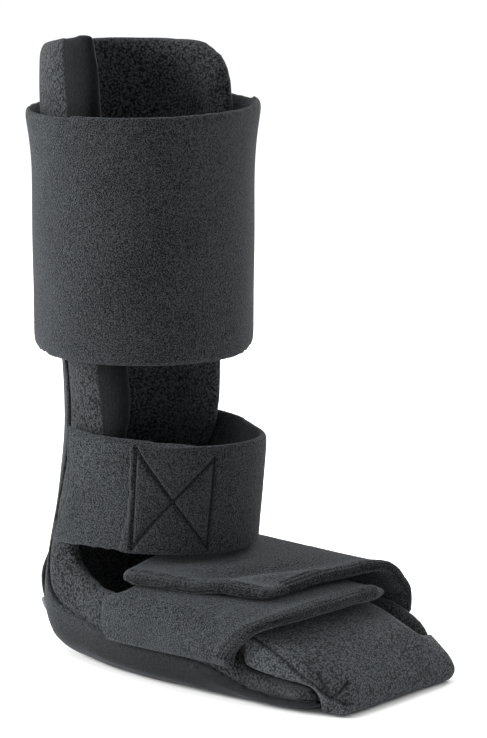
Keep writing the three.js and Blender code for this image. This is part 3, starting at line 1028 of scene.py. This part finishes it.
@dataclass
class AnkleStrap:
    """The ankle strap's two pieces and the cross-stitched tab."""

    finishes: Finishes
    rays: ShaftRays = field(default_factory=ShaftRays)
    tab_left: tuple[float, float] = (51.5, 54.5)
    tab_right: tuple[float, float] = (17.0, 18.5)
    tab_top: float = 152 * MM
    tab_bottom: float = 85 * MM
    hidden_drop: float = 3 * MM
    hidden_rise: float = 2 * MM

    def build(self) -> None:
        """Builds the near piece, then the far piece with its stitching."""
        strap = SoftSolid("ankle_strap_near", "ankle_strap_inner", voxel=2 * MM, cap=0.8 * MM, tuck=0.2 * MM)
        near = strap.build()
        pushed(near, self._tucked)
        caster = Caster(near)
        edge = [(self._end_turn(caster, z) - 3.0, z) for z in np.linspace(84, 154, 12) * MM]
        # A groove along the near piece's edge, with some painted shade.
        Seam(self.rays.line(caster, edge, 30), 0.7 * MM, 1.1 * MM, 0.5).sink(near)
        dressed(near, self.finishes.strap, Slot.CLOTH, "ankle_strap_near")
        strap = SoftSolid(
            "ankle_strap_far", "ankle_strap_outer", voxel=2 * MM, cap=0.9 * MM, tuck=0, smoothing=4, firm=0.3
        )
        far = strap.build()
        lines = self._tab_lines(Caster(far), 0.0)
        # The tab's stitched grooves, with painted shade.
        for line in lines:
            Seam(line, 2.0 * MM, 1.3 * MM).sink(far)
        dressed(far, self.finishes.tab, Slot.CLOTH, "ankle_strap_far")
        rows = self._tab_lines(Caster(far), 0.12 * MM)
        thread = StitchRow("tab_stitching", 2.9 * MM, 0.8 * MM, 0.45 * MM).build(rows)
        dressed(thread, self.finishes.thread, Slot.WEBBING)

    def _tucked(self, place: Vector, normal: Vector) -> Vector:
        """Narrows the near piece's hidden end, so that it stays under the far piece."""
        down = step(place.z, 118 * MM, 148 * MM)
        up = step(-place.z, -108 * MM, -86 * MM)
        move = self.hidden_rise * up - self.hidden_drop * down
        return Vector((0, 0, move)) * step(place.x, -38 * MM, -20 * MM)

    def _end_turn(self, caster: Caster, z: float) -> float:
        """The largest turn at which the near piece is there."""
        return max(t for t in range(60, 150) if self.rays.cast(caster, t, z) is not None)

    def _tab_lines(self, caster: Caster, lift: float) -> list[list[Vector]]:
        """The tab's two upright seams and the cross between them.

        Args:
            caster: The far piece's caster.
            lift: How far the lines stand off the cloth.

        Returns:
            Four lines.
        """
        left = [(self.tab_left[0], self.tab_top), (self.tab_left[1], self.tab_bottom)]
        right = [(self.tab_right[0], self.tab_top - 6 * MM), (self.tab_right[1], self.tab_bottom + MM)]
        pairs = [left, right, [left[0], right[1]], [left[1], right[0]]]
        return [self.rays.line(caster, pair, 40, lift) for pair in pairs]


@dataclass
class InstepFlaps:
    """The two flaps over the instep, the near one below and the far one on top."""

    finishes: Finishes
    rays: ArchRays = field(default_factory=ArchRays)
    near_insets: tuple[float, ...] = (2.2 * MM, 5.4 * MM, 8.8 * MM)
    far_insets: tuple[float, ...] = (2.4 * MM, 6.0 * MM)
    end_insets: tuple[float, ...] = (2.4, 5.6)
    face_depths: tuple[float, ...] = (2.1 * MM, 4.1 * MM, 6.1 * MM)
    near_turns: tuple[float, float, float] = (54, 176, 3.0)
    far_turns: tuple[float, float, float] = (14, 121, 3.0)
    far_rows_mm: tuple[float, float, float] = (-70, 22, 3.0)
    end_face: tuple[float, float, float] = (-0.94, 0, -0.34)
    hem: float = 1.7 * MM
    hem_width: float = 6.5 * MM
    tip_width: float = 7 * MM
    # Depth, width and painted shade of the stitch rows' grooves and of the layers' lines.
    row_seam: tuple[float, float, float] = (1.2 * MM, 0.95 * MM, 0.8)
    layer_seam: tuple[float, float, float] = (1.0 * MM, 0.8 * MM, 0.9)
    fold_at: tuple[float, float] = (-30 * MM, -36 * MM)
    fold_width: float = 9 * MM
    valley: float = 4.4 * MM
    ridge: float = 2.8 * MM
    ridge_ahead: float = 17 * MM

    def build(self) -> None:
        """Builds both flaps and the stitching along their free edges."""
        near = SoftSolid("foot_flap_near", "near_flap", voxel=1.6 * MM, cap=1.0 * MM, tuck=0.15 * MM).build()
        self._sew(near, "near_flap_stitching", self.near_insets, np.arange(*self.near_turns), None)
        dressed(near, self.finishes.strap, Slot.CLOTH, "foot_flap_near")
        far = SoftSolid("foot_flap_far", "far_flap", voxel=1.6 * MM, cap=1.2 * MM, tuck=0.1 * MM).build()
        pushed(far, self._far_folds)
        rows = np.arange(*self.far_rows_mm) * MM
        self._sew(far, "far_flap_stitching", self.far_insets, np.arange(*self.far_turns), rows)
        dressed(far, self.finishes.strap, Slot.CLOTH, "foot_flap_far")

    def _far_folds(self, place: Vector, normal: Vector) -> Vector:
        """The far flap's soft valley and the ridge in front of it."""
        across = Vector((0.5, 0.87))
        at = (place.xy - Vector(self.fold_at)).dot(across)
        reach = bell(place.x + 18 * MM, 36 * MM)
        ridge = self.ridge * bell(at + self.ridge_ahead, self.fold_width)
        valley = self.valley * bell(at, self.fold_width)
        return Vector((0, 0, (ridge - valley) * reach)) if place.z > 50 * MM else Vector()

    def _lines(
        self, caster: Caster, insets: Sequence[float], turns: np.ndarray, rows: np.ndarray | None
    ) -> list[list[Vector]]:
        """The stitch rows on one flap's outer side, along its front edge and its end.

        Args:
            caster: The flap's caster.
            insets: How far in from the front edge the rows lie.
            turns: The turns at which the front edge is sewn.
            rows: The places along the foot at which its end is sewn, or None.

        Returns:
            The lines.
        """
        lines = [self.rays.edge(caster, list(turns), inset) for inset in insets]
        if rows is not None:
            lines += [self.rays.end(caster, list(rows), inset) for inset in self.end_insets]
        return [line for line in lines if len(line) > 3]

    def _sew(
        self,
        piece: bpy.types.Object,
        name: str,
        insets: Sequence[float],
        turns: np.ndarray,
        rows: np.ndarray | None,
    ) -> None:
        """Presses the stitch rows and the layers of one flap, and threads the rows.

        Args:
            piece: The flap.
            name: The name of the piece of thread.
            insets: How far in from the front edge the rows lie.
            turns: The turns at which the front edge is sewn.
            rows: The places along the foot at which its end is sewn, or None.
        """
        hems = self._lines(Caster(piece), insets[:1], turns, rows)
        for line in hems:
            Seam(line, -self.hem, self.hem_width, 0.0, -1.0 if rows is None else -0.2).sink(piece)
        if rows is None:
            Seam(hems[0][:3], -self.hem, self.tip_width, 0.0).sink(piece)
        caster = Caster(piece)
        rows_on_top = self._lines(caster, insets, turns, rows)
        # The stitch rows and the layers' lines are pressed in with painted shade.
        for line in rows_on_top:
            Seam(line, *self.row_seam).sink(piece)
        for depth in self.face_depths:
            front = self.rays.face(caster, rows_on_top[0], Vector((0, -1, 0)), depth)
            Seam(front, *self.layer_seam).sink(piece)
            if rows is not None:
                end = self.rays.face(caster, rows_on_top[-1], Vector(self.end_face), depth)
                Seam(end, *self.layer_seam).sink(piece)
        sewn = self._lines(Caster(piece), insets, turns, rows)
        thread = StitchRow(name, 2.2 * MM, 0.9 * MM, 0.26 * MM).build(sewn)
        dressed(thread, self.finishes.grey_thread, Slot.WEBBING)


@dataclass
class ToePad:
    """The plush wedge under the toes. Its seam and folds are places in millimetres."""

    finishes: Finishes
    side_seam: tuple[tuple[float, float, float], ...] = (
        (-61, -78, 48), (-61, -93, 41), (-60, -105, 34), (-58, -116, 26), (-55, -127, 20), (-51, -136, 15)
    )
    corner_folds: tuple[tuple[tuple[float, float, float], ...], ...] = (
        ((-51, -136, 15), (-50, -130, 22), (-49, -122, 27)),
        ((-51, -136, 15), (-44, -138, 19), (-36, -137, 22)),
        ((-51, -136, 15), (-46, -141, 11), (-40, -142, 9)),
    )
    seam_depth: float = 1.9 * MM
    fold_depth: float = 1.5 * MM
    crown: float = 5 * MM
    corner_shift: float = 8 * MM
    corner_drop: float = 0.5

    def build(self) -> None:
        """Builds the wedge."""
        pad = SoftSolid(
            "toe_wedge", "toe_pad", voxel=2.2 * MM, cap=2.2 * MM, tuck=0.1 * MM, smoothing=3, pressure=5
        )
        piece = pad.build()
        for push in (self._crown, self._pinch, ripple(24 * MM, 0.9 * MM)):
            pushed(piece, push)
        caster = Caster(piece)
        folds = [(fold, self.fold_depth) for fold in self.corner_folds]
        # The seam and the folds are pressed in with painted shade.
        for line, depth in [(self.side_seam, self.seam_depth), *folds]:
            dense = spaced([Vector(place) * MM for place in line], 1.5 * MM)
            Seam([caster.tree.find_nearest(place)[0] for place in dense], depth, 1.5 * MM, 0.8).sink(piece)
        dressed(piece, self.finishes.pad, Slot.PLUSH, "toe_wedge")

    def _crown(self, place: Vector, normal: Vector) -> Vector:
        """Fills the pad's top out towards its middle."""
        across = max(0.0, 1 - ((place.x - 16 * MM) / (64 * MM)) ** 2)
        along = bell(place.y + 110 * MM, 28 * MM)
        return Vector((0, 0, self.crown * across * along * max(0.0, normal.z)))

    def _pinch(self, place: Vector, normal: Vector) -> Vector:
        """Draws the lip's near corner down and in, to where the seams meet."""
        share = step(-place.x, 34 * MM, 58 * MM) * step(-place.y, 112 * MM, 137 * MM)
        low = 1 - 0.6 * step(place.z, 8 * MM, 22 * MM)
        drop = self.corner_drop * share * max(0.0, place.z - 6 * MM)
        return Vector((self.corner_shift * share * low, 0, -drop))


@dataclass
class HeelTape:
    """The woven tape that stands off the heel and its small slide."""

    finishes: Finishes
    sharp: float = math.radians(50)
    rounding: float = 0.45 * MM

    def build(self) -> None:
        """Builds the tape and the slide."""
        for node, name, material, slot in (
            ("heel_webbing", "heel_tape", self.finishes.tape, Slot.WEBBING),
            ("heel_slide", "tape_slide", self.finishes.plastic, Slot.SLIDE),
        ):
            shape = bmesh.new()
            shape.from_mesh(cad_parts[node].data)
            bmesh.ops.remove_doubles(shape, verts=shape.verts, dist=1e-6)
            edges = [e for e in shape.edges if e.calc_face_angle(0) > self.sharp]
            bmesh.ops.bevel(
                shape, geom=edges, offset=self.rounding, segments=2, profile=0.5, affect="EDGES", material=-1
            )
            piece = new_piece(name, shape)
            dressed(piece, material, slot, node)


# The picture


@dataclass
class Studio:
    """The pale floor, the soft light and the camera."""

    azimuth: float = -50.0
    elevation: float = 11.2
    distance: float = 2.4
    target: tuple[float, float, float] = (0.010, -0.0125, 0.198)
    focal_px: float = 3720.0
    long_side_px: float = 738.0
    sensor: float = 36.0
    ambient: float = 1.03
    aim: tuple[float, float, float] = (0, 0, 0.18)
    lamps: tuple[tuple[str, tuple[float, float, float], float, float], ...] = (
        ("near_softbox", (-1.2, 1.35, 0.75), 1.0, 64.0),
        ("top_softbox", (-0.2, 0.5, 2.2), 1.2, 19.0),
        ("far_softbox", (1.45, 0.35, 0.7), 0.8, 14.0),
    )

    def build(self) -> None:
        """Builds all of it."""
        self._floor()
        self._light()
        self._camera()

    def _floor(self) -> None:
        """A wide pale floor."""
        shape = bmesh.new()
        bmesh.ops.create_grid(shape, x_segments=4, y_segments=4, size=6.0)
        piece = new_piece("studio_floor", shape)
        shader = Shader("pale_floor")
        tone = shader.grain(0.4, 2.0)
        colour = shader.blend(tone, (0.94, 0.94, 0.94), (0.97, 0.97, 0.97))
        piece.data.materials.append(shader.finish(colour, 0.9, tone, 0.1 * MM, {"Specular IOR Level": 0.1}))

    def _light(self) -> None:
        """Soft light from all round, with a broad one on the near side."""
        world = bpy.data.worlds.new("studio")
        world.use_nodes = True
        sky = world.node_tree.nodes["Background"].inputs
        sky["Color"].default_value = (1, 1, 1, 1)
        sky["Strength"].default_value = self.ambient
        bpy.context.scene.world = world
        for name, place, size, power in self.lamps:
            lamp = bpy.data.lights.new(name, "AREA")
            lamp.shape, lamp.size, lamp.energy = "DISK", size, power
            light = bpy.data.objects.new(name, lamp)
            light.location = place
            light.rotation_mode = "QUATERNION"
            light.rotation_quaternion = (Vector(self.aim) - Vector(place)).to_track_quat("-Z", "Y")
            bpy.context.scene.collection.objects.link(light)
        bpy.context.scene.view_settings.view_transform = "Standard"

    def _camera(self) -> None:
        """The camera, where the photograph was taken from."""
        a, e = math.radians(self.azimuth), math.radians(self.elevation)
        back = Vector((math.sin(a) * math.cos(e), -math.cos(a) * math.cos(e), math.sin(e)))
        data = bpy.data.cameras.new("camera")
        data.sensor_width = self.sensor
        data.lens = self.focal_px / self.long_side_px * self.sensor
        camera = bpy.data.objects.new("camera", data)
        camera.location = Vector(self.target) + back * self.distance
        camera.rotation_mode = "QUATERNION"
        camera.rotation_quaternion = (-back).to_track_quat("-Z", "Y")
        bpy.context.scene.collection.objects.link(camera)
        bpy.context.scene.camera = camera


def main() -> None:
    """Builds the scene."""
    logging.basicConfig(level=logging.INFO, format="%(name)s: %(message)s")
    Studio().build()
    finishes = Finishes()
    for assembly in (Trough, CalfWrap, AnkleStrap, InstepFlaps, ToePad, HeelTape):
        assembly(finishes).build()


if __name__ == "__main__":
    main()
